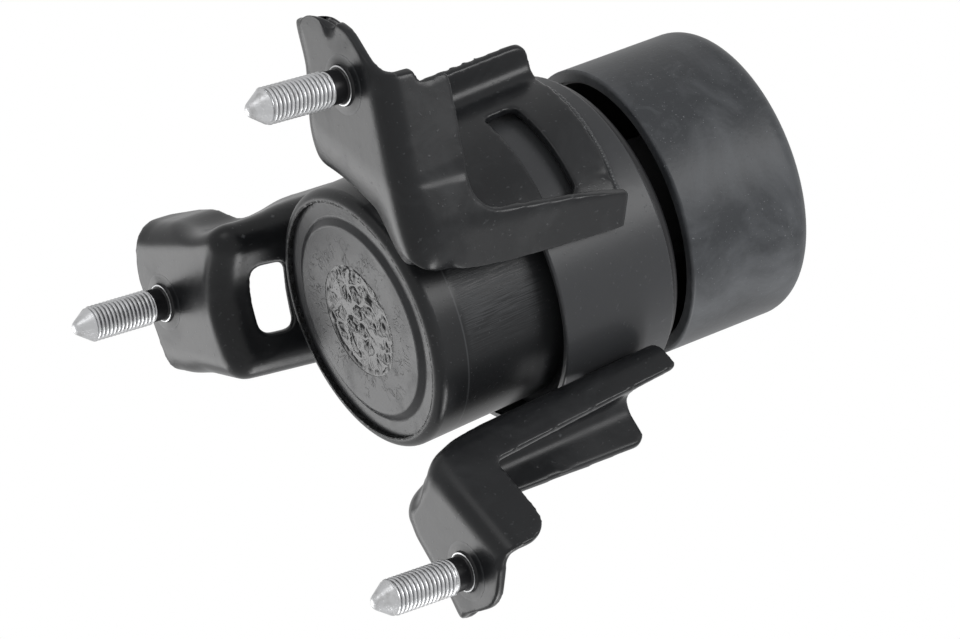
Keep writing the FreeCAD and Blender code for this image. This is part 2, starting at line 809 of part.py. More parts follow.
    around = FreeCAD.Rotation(FreeCAD.Vector(0, 0, 1), azimuth)
    place = home.multiply(FreeCAD.Placement(FreeCAD.Vector(0, 0, 0), around))
    leg.Placement = place
    bead.Placement = place
    out = FreeCAD.Placement(FreeCAD.Vector(n.stud_circle.value, 0, 0), FreeCAD.Rotation())
    stud.Placement = place.multiply(out)
    return leg, stud, bead


def wall_opening(name, middle, half, level, height, rounding):
    """A rounded opening through the web, cut along +X."""
    return cross_prism(name, [
        (middle - half, level, rounding),
        (middle + half, level, rounding),
        (middle + half, level + height, rounding),
        (middle - half, level + height, rounding),
    ], root, n.stud_circle)


legs = []
for leg_name, leg_turn, _ in LEGS:
    legs.extend(make_leg(leg_name, leg_turn))

# Checks before anything is written

doc.recompute()
for item in doc.Objects:
    if "Invalid" in item.State or "Error" in item.State:
        raise RuntimeError("failed object: " + item.Name)

pieces = stack + legs
for piece in pieces:
    shape = piece.Shape
    if shape.isNull() or not shape.isValid():
        raise RuntimeError("bad shape: " + piece.Label)

os.makedirs("parts", exist_ok=True)
for piece in pieces:
    piece.Shape.exportStep(os.path.join("parts", piece.Label + ".step"))
    box = piece.Shape.BoundBox
    print("%-16s solids %d  volume %9.1f  x %6.1f..%6.1f  y %6.1f..%6.1f  z %6.1f..%6.1f" % (
        piece.Label, len(piece.Shape.Solids), piece.Shape.Volume,
        box.XMin, box.XMax, box.YMin, box.YMax, box.ZMin, box.ZMax))
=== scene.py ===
# %% [markdown]
# # An engine mount, dressed over its solid model
# This lesson takes the exact solids of a rubber engine mount and gives them the surfaces of
# the real thing: black painted steel, dusty rubber, bright zinc threads and weld beads.
# The solids already have the right size and place, so the first step only loads them.

# %% Load the solids
import math
import bmesh
import bpy
import numpy as np
from mathutils import Matrix, Vector, noise


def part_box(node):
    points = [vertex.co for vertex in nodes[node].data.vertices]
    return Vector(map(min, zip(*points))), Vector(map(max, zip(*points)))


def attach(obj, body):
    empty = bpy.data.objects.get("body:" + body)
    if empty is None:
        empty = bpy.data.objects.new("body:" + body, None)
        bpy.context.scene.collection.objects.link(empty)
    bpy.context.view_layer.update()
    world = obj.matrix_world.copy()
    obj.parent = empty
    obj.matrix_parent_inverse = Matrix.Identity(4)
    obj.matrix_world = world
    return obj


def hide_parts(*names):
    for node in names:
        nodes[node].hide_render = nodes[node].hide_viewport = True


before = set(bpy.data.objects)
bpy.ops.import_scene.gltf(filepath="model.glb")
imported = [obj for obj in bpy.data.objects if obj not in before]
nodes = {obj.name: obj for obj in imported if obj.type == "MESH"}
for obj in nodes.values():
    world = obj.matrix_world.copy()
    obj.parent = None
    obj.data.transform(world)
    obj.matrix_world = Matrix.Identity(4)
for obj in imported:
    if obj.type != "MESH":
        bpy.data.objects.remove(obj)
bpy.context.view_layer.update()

# %% [markdown]
# ## The axes that the pieces share
# Lengths here are in millimetres and become metres at the last moment, because a drawing of
# such a part is in millimetres. The can's own axis leans, so a matrix turns a simple upright
# piece into place. Each leg has a matrix too, with X pointing out along the leg from the middle
# of the mount, and so has each stud.

# %% Axes of the mount and of its legs
MM = 0.001
MIDDLE_X = -63.0
LEAN = math.radians(7.4)
STUD_CIRCLE = 77.0
LEG_TURNS = {"a": 0.0, "b": math.radians(-112.6), "c": math.radians(112.6)}

middle = Matrix.Translation((MIDDLE_X, 0, 0))
can_axis = middle @ Matrix.Rotation(LEAN, 4, "Y")
leg_axis = {leg: middle @ Matrix.Rotation(turn, 4, "Z") for leg, turn in LEG_TURNS.items()}
to_stud = Matrix.Translation((STUD_CIRCLE, 0, 0))
stud_axis = {leg: place @ to_stud for leg, place in leg_axis.items()}
print("the can's axis points along", [round(v, 3) for v in can_axis.col[2][:3]])

# %% [markdown]
# ## The camera
# The photograph looks at the mount from below and to one side, through a long lens, so the
# studs point at the viewer. A matrix whose columns are the picture's right, its up and the way
# back to the viewer aims the camera without any guessing.

# %% Camera at the photograph's angle
CAMERA_AT = Vector((0.5804027, 0.785577, -0.6039712))
RIGHT = Vector((0.100604, 0.588424, 0.802269))
UP = Vector((0.837088, -0.485882, 0.251400))
BACK = Vector((0.537738, 0.646278, -0.541444))
LENS = 168.75
SENSOR = 36.0

camera_data = bpy.data.cameras.new("photo_camera")
camera_data.lens = LENS
camera_data.sensor_width = SENSOR
camera = bpy.data.objects.new("photo_camera", camera_data)
columns = Matrix((RIGHT, UP, BACK)).transposed().to_4x4()
camera.matrix_world = Matrix.Translation(CAMERA_AT) @ columns
bpy.context.scene.collection.objects.link(camera)
bpy.context.scene.camera = camera
print("camera to origin:", round(CAMERA_AT.length, 3))

# %% [markdown]
# ## Small helpers for materials
# A material is a tree of nodes. These helpers add a node, link two sockets and start a
# material, so that the later cells read as a list of what each finish does. Everything round
# the mount is white, so a low gloss level keeps its black paint from looking grey.

# %% Node helpers
GLOSS = 0.2


def add(tree, kind, **settings):
    """Adds a node and sets its attributes."""
    node = tree.nodes.new(kind)
    for key, value in settings.items():
        setattr(node, key, value)
    return node


def join(tree, source, target):
    """Links an output socket to an input socket."""
    tree.links.new(source, target)


def new_material(name, colour, roughness, metallic=0.0):
    """Starts a material and returns it with its tree and Principled shader."""
    material = bpy.data.materials.new(name)
    material.use_nodes = True
    shader = material.node_tree.nodes["Principled BSDF"]
    shader.inputs["Base Color"].default_value = (*colour, 1)
    shader.inputs["Roughness"].default_value = roughness
    shader.inputs["Metallic"].default_value = metallic
    shader.inputs["Specular IOR Level"].default_value = GLOSS
    return material, material.node_tree, shader


def figure(tree, operation, first, second=None):
    """A Math node; each operand is a socket or a number."""
    node = add(tree, "ShaderNodeMath", operation=operation)
    for slot, value in enumerate((first, second)):
        if value is None:
            continue
        if isinstance(value, (int, float)):
            node.inputs[slot].default_value = value
        else:
            join(tree, value, node.inputs[slot])
    return node.outputs["Value"]


def product(tree, first, *others):
    """Multiplies sockets and numbers together."""
    for other in others:
        first = figure(tree, "MULTIPLY", first, other)
    return first


def largest(tree, first, *others):
    """Keeps the greatest of sockets and numbers."""
    for other in others:
        first = figure(tree, "MAXIMUM", first, other)
    return first


def zero_to_one(tree, value):
    """Holds a value between 0 and 1."""
    return figure(tree, "MINIMUM", largest(tree, value, 0.0), 1.0)


print("node helpers ready, gloss:", GLOSS)

# %% Colour and texture helpers


def blend_colour(tree, mask, first, second):
    """Mixes two colours by a mask; a colour is a socket or three numbers."""
    node = add(tree, "ShaderNodeMix", data_type="RGBA")
    join(tree, mask, node.inputs[0])
    for slot, value in ((6, first), (7, second)):
        if isinstance(value, tuple):
            node.inputs[slot].default_value = (*value, 1)
        else:
            join(tree, value, node.inputs[slot])
    return node.outputs[2]


def steps(tree, value, low, high, floor=0.0, top=1.0):
    """Spreads a value's range onto another and holds it inside."""
    node = add(tree, "ShaderNodeMapRange", clamp=True)
    join(tree, value, node.inputs["Value"])
    limits = {"From Min": low, "From Max": high, "To Min": floor, "To Max": top}
    for socket, number in limits.items():
        node.inputs[socket].default_value = number
    return node.outputs["Result"]


def coordinates(tree):
    """The object's own coordinates."""
    return add(tree, "ShaderNodeTexCoord").outputs["Object"]


def noise_field(tree, where, scale, **values):
    """Noise at a place; its scale is a socket or a number."""
    node = add(tree, "ShaderNodeTexNoise")
    join(tree, where, node.inputs["Vector"])
    if isinstance(scale, (int, float)):
        node.inputs["Scale"].default_value = scale
    else:
        join(tree, scale, node.inputs["Scale"])
    for label, value in values.items():
        node.inputs[label].default_value = value
    return node.outputs["Fac"]


print("texture helpers ready")

# %% [markdown]
# ## The stage
# A pale floor carries the mount on its stud tips. The camera is under that floor, so its lower
# side is see-through, and shadow and gloss rays pass it, which lets a lamp below light the feet.
# The world is white for camera, gloss and glass rays and a plainer grey for all others.

# %% Floor
FLOOR_GAP = 0.0003
FLOOR_REACH = 2.5
FLOOR_CORNERS = ((-1, -1), (1, -1), (1, 1), (-1, 1))
FLOOR_GREY = (0.82, 0.82, 0.82)

floor_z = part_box("stud_a")[0][2] - FLOOR_GAP
corners = [(x * FLOOR_REACH, y * FLOOR_REACH, floor_z) for x, y in FLOOR_CORNERS]
floor_mesh = bpy.data.meshes.new("floor")
floor_mesh.from_pydata(corners, [], [(0, 1, 2, 3)])
floor = bpy.data.objects.new("floor", floor_mesh)
bpy.context.scene.collection.objects.link(floor)

paper, tree, shader = new_material("floor_paper", FLOOR_GREY, 0.9)
ray = add(tree, "ShaderNodeLightPath")
under = add(tree, "ShaderNodeNewGeometry").outputs["Backfacing"]
passing = largest(tree, ray.outputs["Is Shadow Ray"], ray.outputs["Is Glossy Ray"])
pick = add(tree, "ShaderNodeMixShader")
join(tree, largest(tree, under, passing), pick.inputs["Fac"])
join(tree, shader.outputs["BSDF"], pick.inputs[1])
join(tree, add(tree, "ShaderNodeBsdfTransparent").outputs["BSDF"], pick.inputs[2])
join(tree, pick.outputs["Shader"], tree.nodes["Material Output"].inputs["Surface"])
floor.data.materials.append(paper)
print("floor at", round(floor_z, 4))

# %% World
AMBIENT = 0.45
world = bpy.data.worlds.new("studio")
bpy.context.scene.world = world
world.use_nodes = True
sky = world.node_tree
ray = add(sky, "ShaderNodeLightPath")
seen = largest(sky, ray.outputs["Is Camera Ray"], ray.outputs["Is Glossy Ray"],
               ray.outputs["Is Transmission Ray"])
sky.nodes["Background"].inputs["Color"].default_value = (1, 1, 1, 1)
join(sky, steps(sky, seen, 0, 1, AMBIENT, 1.0), sky.nodes["Background"].inputs["Strength"])
bpy.context.scene.view_settings.view_transform = "Standard"
print("world strength for other rays:", AMBIENT)

# %% [markdown]
# ## The lamps
# Big area lamps give the long soft highlights of a product photograph. Each is placed by how
# far it is to the picture's right, up and back towards the viewer, so it is easy to say where
# its highlight will fall.

# %% Lamps
AIM = Vector((MIDDLE_X * MM, 0, 0.055))


def lamp(name, right, up, back, width, height, power):
    """An area lamp that faces the mount."""
    data = bpy.data.lights.new(name, "AREA")
    data.shape = "RECTANGLE"
    data.size = width
    data.size_y = height
    data.energy = power
    thing = bpy.data.objects.new(name, data)
    place = AIM + RIGHT * right + UP * up + BACK * back
    thing.location = place
    thing.rotation_euler = (place - AIM).to_track_quat("Z", "Y").to_euler()
    bpy.context.scene.collection.objects.link(thing)
    return thing


lamps = [
    lamp("low_left_lamp", -0.86, -0.33, -0.38, 0.6, 0.6, 5),
    lamp("right_lamp", 0.76, 0.33, 0.56, 0.45, 0.42, 6.5),
    lamp("under_lamp", 0.4, -0.85, -0.1, 0.6, 0.35, 6),
    lamp("key_lamp", -0.5, 0.6, 0.65, 0.4, 0.4, 1.2),
]
print("lamps:", [item.name for item in lamps])

# %% [markdown]
# ## A shader group that unrolls a turned surface
# Most of the mount was turned or drawn about one axis, so its marks run round that axis or
# along it. This group moves the object's coordinates onto the axis and puts out the radius
# and the distance along in millimetres, and the turn in radians. Any finish can use it with
# its own place and tilt.

# %% Group: place about an axis


def new_group(name, inputs, outputs):
    """A shader group with float inputs (name, value) and float outputs."""
    group = bpy.data.node_groups.new(name, "ShaderNodeTree")
    for label, value in inputs:
        kind = "NodeSocketVector" if isinstance(value, tuple) else "NodeSocketFloat"
        socket = group.interface.new_socket(label, in_out="INPUT", socket_type=kind)
        socket.default_value = value
    for label in outputs:
        group.interface.new_socket(label, in_out="OUTPUT", socket_type="NodeSocketFloat")
    return group, add(group, "NodeGroupInput"), add(group, "NodeGroupOutput")


ORIGIN = (0.0, 0.0, 0.0)
about_axis, entry, leave = new_group(
    "about_axis", [("Place", ORIGIN), ("Tilt", ORIGIN)], ["Radius", "Turn", "Along"])
moved = add(about_axis, "ShaderNodeMapping", vector_type="TEXTURE")
join(about_axis, coordinates(about_axis), moved.inputs["Vector"])
join(about_axis, entry.outputs["Place"], moved.inputs["Location"])
join(about_axis, entry.outputs["Tilt"], moved.inputs["Rotation"])
parts = add(about_axis, "ShaderNodeSeparateXYZ")
join(about_axis, moved.outputs["Vector"], parts.inputs["Vector"])
across, side, along = parts.outputs["X"], parts.outputs["Y"], parts.outputs["Z"]
square = figure(about_axis, "ADD", product(about_axis, across, across), product(about_axis, side, side))
radius = product(about_axis, figure(about_axis, "SQRT", square), 1 / MM)
join(about_axis, radius, leave.inputs["Radius"])
join(about_axis, figure(about_axis, "ARCTAN2", side, across), leave.inputs["Turn"])
join(about_axis, product(about_axis, along, 1 / MM), leave.inputs["Along"])
print("group:", about_axis.name)

# %% [markdown]
# ## A shader group for paint grain
# Sprayed paint is never mirror smooth. It has a soft ripple like orange peel, and fine specks
# of dust that dried into it. Two noise sizes give both, as a height for bump and a mask that
# lightens the colour a little.

# %% Group: grain and specks
SPECK_FINENESS = 2.2
SPECK_EDGE = 14.0

grain, entry, leave = new_group("grain", [("Size", 1.5), ("Specks", 0.66)], ["Height", "Mask"])
where = coordinates(grain)
fine_scale = figure(grain, "DIVIDE", 1 / MM, entry.outputs["Size"])
peel = noise_field(grain, where, fine_scale, Detail=3)
speck = noise_field(grain, where, product(grain, fine_scale, SPECK_FINENESS), Detail=1)
edge = figure(grain, "SUBTRACT", speck, entry.outputs["Specks"])
mask = zero_to_one(grain, product(grain, edge, SPECK_EDGE))
join(grain, figure(grain, "ADD", peel, mask), leave.inputs["Height"])
join(grain, mask, leave.inputs["Mask"])
print("group:", grain.name)

# %% [markdown]
# ## A shader group for dust and handling marks
# Dust settles in cloudy patches, and hands wipe some of them away. Large noise gives the
# clouds, and smaller noise breaks up their borders.

# %% Group: dust clouds
CLOUD_EDGE = 4.0

dust, entry, leave = new_group("dust", [("Size", 18.0), ("Cover", 0.5)], ["Mask"])
broad_scale = figure(dust, "DIVIDE", 1 / MM, entry.outputs["Size"])
cloud = noise_field(dust, coordinates(dust), broad_scale, Detail=6, Roughness=0.62, Distortion=0.6)
level = figure(dust, "SUBTRACT", cloud, figure(dust, "SUBTRACT", 1.0, entry.outputs["Cover"]))
join(dust, zero_to_one(dust, product(dust, level, CLOUD_EDGE)), leave.inputs["Mask"])
print("group:", dust.name)

# %% [markdown]
# ## A shader group for worn edges and painted edge highlights
# Paint is thin on a sharp edge and rubs off there a little. The group also lightens sharp edges as a
# painted highlight, the bright line that light draws along the black sheet. Pointiness measures how
# much the surface bends outwards, so it finds the edges of a fine mesh. Noise keeps the wear and
# the painted highlight patchy.

# %% Group: edge wear and painted edge highlight
WEAR_AND_HIGHLIGHT_EDGE = 18.0

wear_and_highlight, entry, leave = new_group("edge_wear_and_highlight", [("Start", 0.56), ("Size", 3.0)], ["Mask"])
sharp = add(wear_and_highlight, "ShaderNodeNewGeometry").outputs["Pointiness"]
patch_scale = figure(wear_and_highlight, "DIVIDE", 1 / MM, entry.outputs["Size"])
patchy = noise_field(wear_and_highlight, coordinates(wear_and_highlight), patch_scale, Detail=4)
level = figure(wear_and_highlight, "SUBTRACT", sharp, entry.outputs["Start"])
# The mask lightens sharp edges: a little real wear and a painted highlight.
join(wear_and_highlight, zero_to_one(wear_and_highlight, product(wear_and_highlight, level, WEAR_AND_HIGHLIGHT_EDGE, patchy)), leave.inputs["Mask"])
print("group:", wear_and_highlight.name)

# %% [markdown]
# ## Two colours and two helpers for the finishes
# Two colours come back in several finishes: the can's black, and the grey that shows where
# paint is thin or dusty and that also paints the highlight on the legs' sharp edges. The first
# helper places a group in a material, and the second turns a height into small ripples of light
# by way of a Bump node.

# %% Place the groups in a finish


def use(tree, group, **values):
    """Adds a group to a material with its own input values."""
    node = add(tree, "ShaderNodeGroup", node_tree=group)
    for label, value in values.items():
        node.inputs[label].default_value = value
    return node.outputs


def bump(tree, shader, height, strength, distance):
    """Feeds a height to the shader's normal; distance is in millimetres."""
    node = add(tree, "ShaderNodeBump")
    node.inputs["Strength"].default_value = strength
    node.inputs["Distance"].default_value = distance * MM
    join(tree, height, node.inputs["Height"])
    join(tree, node.outputs["Normal"], shader.inputs["Normal"])


CAN_PLACE = (MIDDLE_X * MM, 0.0, 0.0)
CAN_TILT = (0.0, LEAN, 0.0)
BLACK = (0.013, 0.0135, 0.0145)
# Grey for worn paint, dust and specks, and for the painted highlight on the legs' edges.
WORN_AND_HIGHLIGHT_GREY = (0.075, 0.078, 0.082)
print("paint:", BLACK, "worn:", WORN_AND_HIGHLIGHT_GREY)

# %% [markdown]
# ## Paint on the can
# The can is a drawn steel cup. A wire brush ran along its side before it was painted, so fine
# lines follow the axis, and one faint ring shows where the tool stopped. The rolled rim has a
# rough dark line where it bites the end plate.

# %% Brushed lines on the can
BRUSH_BEGIN, BRUSH_END = 23.0, 49.0
BRUSH_TURN_BEGIN, BRUSH_TURN_END = 0.3, 1.5
LINES_PER_RADIAN = 120.0
LINE_STRETCH = 0.12
RING_AT = 22.4
RING_WIDTH = 0.35

can_paint, tree, shader = new_material("can_paint", BLACK, 0.38)
turn = use(tree, about_axis, Place=CAN_PLACE, Tilt=CAN_TILT)
specks = use(tree, grain, Size=1.6, Specks=0.68)
brush = add(tree, "ShaderNodeCombineXYZ")
join(tree, product(tree, turn["Turn"], LINES_PER_RADIAN), brush.inputs["X"])
join(tree, product(tree, turn["Along"], LINE_STRETCH), brush.inputs["Y"])
lines = noise_field(tree, brush.outputs["Vector"], 1.0, Detail=2)
field = product(
    tree,
    steps(tree, turn["Along"], BRUSH_BEGIN, BRUSH_BEGIN + 1.2),
    steps(tree, turn["Turn"], BRUSH_TURN_BEGIN, BRUSH_TURN_BEGIN + 0.2),
    steps(tree, turn["Turn"], BRUSH_TURN_END - 0.4, BRUSH_TURN_END, 1, 0),
    steps(tree, turn["Along"], BRUSH_END - 4.0, BRUSH_END, 1, 0),
)
brushed = product(tree, steps(tree, lines, 0.42, 0.62), field)
from_ring = figure(tree, "ABSOLUTE", figure(tree, "SUBTRACT", turn["Along"], RING_AT))
ring = steps(tree, from_ring, 0.0, RING_WIDTH, 1, 0)
print("brushed from", BRUSH_BEGIN, "to", BRUSH_END, "mm")

# %% Finish: can
BITE_INSIDE, BITE_OUTSIDE = 32.6, 33.7
RIM_FRONT = 14.5
BITE_BLACK = (0.004, 0.004, 0.004)

inside = steps(tree, turn["Radius"], BITE_INSIDE - 0.3, BITE_INSIDE + 0.2)
outside = steps(tree, turn["Radius"], BITE_OUTSIDE - 0.2, BITE_OUTSIDE + 0.3, 1, 0)
front = steps(tree, turn["Along"], RIM_FRONT, RIM_FRONT + 0.5, 1, 0)
pits = noise_field(tree, coordinates(tree), 900, Detail=2)
bite = product(tree, inside, outside, front, steps(tree, pits, 0.45, 0.56))
lighter = largest(tree, product(tree, brushed, 0.4), product(tree, ring, 0.5),
                  product(tree, specks["Mask"], 0.35))
colour = blend_colour(tree, lighter, BLACK, WORN_AND_HIGHLIGHT_GREY)
join(tree, blend_colour(tree, bite, colour, BITE_BLACK), shader.inputs["Base Color"])
matt = figure(tree, "ADD", brushed, bite)
join(tree, steps(tree, matt, 0, 1, 0.36, 0.6), shader.inputs["Roughness"])
height = figure(tree, "ADD", product(tree, brushed, 0.22), product(tree, specks["Height"], 0.25))
height = figure(tree, "SUBTRACT", height, product(tree, bite, 2.0))
bump(tree, shader, height, 0.7, 0.12)
print("finish:", can_paint.name)

# %% [markdown]
# ## Paint on the end plate
# The flat plate holds the rubber skin. Its paint cracked in short lines that point at the
# middle. Noise on turn and radius, stretched along the radius, makes such cracks.

# %% Finish: end plate
CRACKS_END = 25.0
CRACK_STRETCH = 0.16
CRACKS_PER_RADIAN = 7.5
CRACK_BLACK = (0.005, 0.005, 0.005)
PLATE_DARK = (0.018, 0.0185, 0.02)
PLATE_DUSTY = (0.045, 0.046, 0.049)

plate_paint, tree, shader = new_material("plate_paint", BLACK, 0.34)
turn = use(tree, about_axis, Place=CAN_PLACE, Tilt=CAN_TILT)
specks = use(tree, grain, Size=2.2, Specks=0.7)
soft = use(tree, dust, Size=14.0, Cover=0.52)
spread = add(tree, "ShaderNodeCombineXYZ")
join(tree, product(tree, turn["Turn"], CRACKS_PER_RADIAN), spread.inputs["X"])
join(tree, product(tree, turn["Radius"], CRACK_STRETCH), spread.inputs["Y"])
crack = noise_field(tree, spread.outputs["Vector"], 1.6, Detail=1.5, Distortion=0.5)
from_crack = figure(tree, "ABSOLUTE", figure(tree, "SUBTRACT", crack, 0.5))
rare = noise_field(tree, coordinates(tree), 190)
thin = product(
    tree,
    steps(tree, from_crack, 0.006, 0.02, 1, 0),
    steps(tree, rare, 0.49, 0.55),
    steps(tree, turn["Radius"], CRACKS_END - 4, CRACKS_END, 1, 0),
)
lighter = largest(tree, product(tree, soft["Mask"], 0.35), product(tree, specks["Mask"], 0.3))
colour = blend_colour(tree, lighter, PLATE_DARK, PLATE_DUSTY)
join(tree, blend_colour(tree, thin, colour, CRACK_BLACK), shader.inputs["Base Color"])
join(tree, steps(tree, soft["Mask"], 0, 1, 0.34, 0.46), shader.inputs["Roughness"])
height = figure(tree, "SUBTRACT", product(tree, specks["Height"], 0.4), thin)
bump(tree, shader, height, 0.6, 0.12)
print("finish:", plate_paint.name)

# %% [markdown]
# ## Paint on the carrier band, legs and ring
# A satin black paint covers the pressed parts, a shade darker or lighter from part to part.
# It has a soft ripple, a few specks and a light haze of dust, so one function makes them all.
# The legs add worn edges and a painted edge highlight, which need a fine mesh, so only their finish
# gets that group.

# %% Finish: satin paint


def satin_paint(name, colour, roughness, worn_and_lit_edges, haze):
    """Sprayed paint over pressed steel, with optional edge wear and a painted edge highlight."""
    material, tree, shader = new_material(name, colour, roughness)
    specks = use(tree, grain, Size=2.6, Specks=0.69)
    soft = use(tree, dust, Size=16.0, Cover=haze)
    lighter = largest(tree, product(tree, soft["Mask"], 0.12), product(tree, specks["Mask"], 0.25))
    if worn_and_lit_edges:
        # Sharp edges turn lighter: a little real wear and a painted highlight.
        rubbed_and_lit = use(tree, wear_and_highlight, Start=0.545, Size=2.5)
        lighter = largest(tree, lighter, product(tree, rubbed_and_lit["Mask"], 0.9))
    join(tree, blend_colour(tree, lighter, colour, WORN_AND_HIGHLIGHT_GREY), shader.inputs["Base Color"])
    matt = steps(tree, soft["Mask"], 0, 1, roughness, roughness + 0.12)
    join(tree, matt, shader.inputs["Roughness"])
    bump(tree, shader, specks["Height"], 0.35, 0.08)
    return material


band_paint = satin_paint("band_paint", (0.03, 0.031, 0.033), 0.36, False, 0.45)
leg_paint = satin_paint("leg_paint", (0.009, 0.0095, 0.0105), 0.3, True, 0.5)
ring_paint = satin_paint("ring_paint", (0.008, 0.008, 0.009), 0.38, False, 0.4)
hidden_steel = satin_paint("hidden_steel", (0.02, 0.02, 0.021), 0.5, False, 0.4)
print("finishes:", band_paint.name, leg_paint.name, ring_paint.name, hidden_steel.name)

# %% [markdown]
# ## Rubber
# The cup wears a moulded rubber sleeve. It is matt, a shade bluer than the paint, and carries
# cloudy dust with tiny pale specks. The spring between the cup and the ring and the crumpled
# skin in the end plate are darker rubber with hardly any dust.

# %% Finish: rubber


def rubber(name, colour, dusty, roughness, cover):
    """Moulded rubber with dust clouds and pale specks."""
    material, tree, shader = new_material(name, colour, roughness)
    clouds = use(tree, dust, Size=26.0, Cover=cover)
    streaks = use(tree, dust, Size=5.0, Cover=0.46)
    specks = use(tree, grain, Size=1.3, Specks=0.7)
    cloudy = largest(tree, product(tree, clouds["Mask"], 0.55), product(tree, streaks["Mask"], 0.3),
                     specks["Mask"])
    join(tree, blend_colour(tree, cloudy, colour, dusty), shader.inputs["Base Color"])
    join(tree, steps(tree, cloudy, 0, 1, roughness, roughness + 0.2), shader.inputs["Roughness"])
    bump(tree, shader, specks["Height"], 0.5, 0.1)
    return material


sleeve_rubber = rubber("sleeve_rubber", (0.027, 0.029, 0.032), (0.1, 0.105, 0.112), 0.42, 0.52)
spring_rubber = rubber("spring_rubber", (0.008, 0.008, 0.009), (0.02, 0.02, 0.021), 0.6, 0.4)
skin_rubber = rubber("skin_rubber", (0.004, 0.0042, 0.005), (0.012, 0.013, 0.014), 0.2, 0.4)
print("finishes:", sleeve_rubber.name, spring_rubber.name, skin_rubber.name)

# %% [markdown]
# ## Zinc
# The studs are plated with zinc, a bright metal with a slight grain and dark dirt in places.
# The neck under the thread got black paint, and the rim of the collar is rubbed bright again.
# The two plates inside the mount are a plain alloy, made by the same function.

# %% Finish: zinc and alloy
DIRT = (0.16, 0.155, 0.15)


def plated(name, colour, roughness, dirt):
    """Bright metal with a fine grain and patches of dirt."""
    material, tree, shader = new_material(name, colour, roughness, 1.0)
    specks = use(tree, grain, Size=0.9, Specks=0.6)
    soiled = use(tree, dust, Size=4.0, Cover=dirt)
    dark = product(tree, soiled["Mask"], 0.6)
    join(tree, blend_colour(tree, dark, colour, DIRT), shader.inputs["Base Color"])
    matt = steps(tree, soiled["Mask"], 0, 1, roughness, roughness + 0.25)
    join(tree, matt, shader.inputs["Roughness"])
    bump(tree, shader, specks["Height"], 0.5, 0.06)
    return material


stud_zinc = plated("stud_zinc", (0.44, 0.444, 0.452), 0.38, 0.5)
plate_alloy = plated("plate_alloy", (0.6, 0.6, 0.61), 0.4, 0.4)
neck_paint = satin_paint("neck_paint", (0.01, 0.01, 0.011), 0.3, False, 0.4)
print("finishes:", stud_zinc.name, plate_alloy.name, neck_paint.name)

# %% [markdown]
# ## Finishes for the solids that stay
# The turned solids already have the exact shape, so they keep their own mesh and only get a
# finish in their material slot.

# %% Give the solids their finishes
FINISHES = {
    "lower_can": can_paint,
    "end_plate": plate_paint,
    "carrier_band": band_paint,
    "spring_ring": ring_paint,
    "main_spring": spring_rubber,
    "core_boss": hidden_steel,
    "top_cup": hidden_steel,
    "stopper_sleeve": sleeve_rubber,
    "diaphragm": skin_rubber,
    "decoupler": spring_rubber,
    "lower_plate": plate_alloy,
    "track_plate": plate_alloy,
}
for name, finish in FINISHES.items():
    nodes[name].data.materials.clear()
    nodes[name].data.materials.append(finish)
print("solids with a new finish:", len(FINISHES))

# %% [markdown]
# ## Helpers for pieces
# A finished piece keeps its object at the origin, with its place in its mesh. The first helper
# makes such an object from a mesh, and the second turns an outline into a round body, with its
# poles closed. An edge that bends more than the sharp angle stays crisp in the shading.

# %% Piece helpers
SHARP_ANGLE = math.radians(28)


def new_piece(name, mesh, place, finishes):
    """An object at the origin from a mesh in millimetres, moved to its place."""
    mesh.transform(Matrix.Scale(MM, 4) @ place)
    for finish in finishes:
        mesh.materials.append(finish)
    piece = bpy.data.objects.new(name, mesh)
    bpy.context.scene.collection.objects.link(piece)
    return piece


def lathe(name, outline, sides, finish_of):
    """A mesh turned about Z from (radius, level) points; finish_of picks a slot per level."""
    shape = bmesh.new()
    rings = []
    for radius, level in outline:
        around = [2 * math.pi * i / sides for i in range(sides if radius else 1)]
        spots = [(radius * math.cos(angle), radius * math.sin(angle), level) for angle in around]
        rings.append([shape.verts.new(spot) for spot in spots])
    for low, high, first, second in zip(rings, rings[1:], outline, outline[1:]):
        slot = finish_of(first, second)
        for i in range(sides):
            corners = [low[i % len(low)], low[(i + 1) % len(low)]]
            corners += [high[(i + 1) % len(high)], high[i % len(high)]]
            face = shape.faces.new(list(dict.fromkeys(corners)))
            face.material_index = slot
            face.smooth = True
    bmesh.ops.recalc_face_normals(shape, faces=shape.faces)
    for edge in shape.edges:
        edge.smooth = edge.calc_face_angle(0) < SHARP_ANGLE
    mesh = bpy.data.meshes.new(name)
    shape.to_mesh(mesh)
    shape.free()
    return mesh


print("helpers ready")

# %% [markdown]
# ## The studs
# A stud is a round body with a thread. The body is turned from an outline, from its blunt tip
# up to the head inside the foot. Paint ran a little way onto the collar, so a thin painted
# skirt lies on the foot around it, and only the collar's rim is bright.

# %% Stud outline
THREAD_RADIUS = 4.95
THREAD_DEPTH = 0.72
PITCH = 1.25
TIP = -29.4
CONE_END = -24.4
THREAD_END = -5.4
NECK_RADIUS = 4.5
COLLAR_RADIUS = 6.6
RIM_RADIUS = 5.3
SKIRT_RADIUS = 8.0
SKIRT_TOP = 0.4
COLLAR_LEVEL = -1.2
SHEET = 2.6
HEAD_RADIUS = 8.0
HEAD_TOP = 6.6
core_radius = THREAD_RADIUS - THREAD_DEPTH + 0.06

